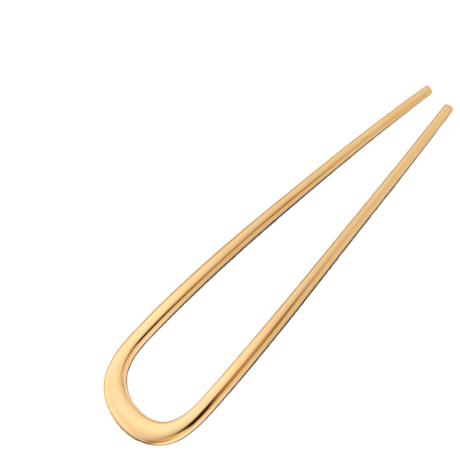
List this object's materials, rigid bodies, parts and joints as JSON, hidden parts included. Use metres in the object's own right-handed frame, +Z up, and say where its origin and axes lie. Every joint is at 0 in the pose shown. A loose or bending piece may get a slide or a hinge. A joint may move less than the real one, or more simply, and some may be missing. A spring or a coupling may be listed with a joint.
{
  "type": "hair fork",
  "caption": "U-shaped metal hair fork: a broad flat bow narrows into two long tapered prongs with blunt rounded tips, gently arched along its length.",
  "frame": {"origin": "under the middle of the fork's length and width, on the surface it lies on", "axes": "+X from the bow to the tips, +Z up out of the arch's outer face"},
  "size_m": [0.1301, 0.0386, 0.0047],
  "materials": {
    "gold_plate": "satin polished gold plate"
  },
  "bodies": {
    "root": {"fork": "gold_plate"}
  },
  "joints": []
}
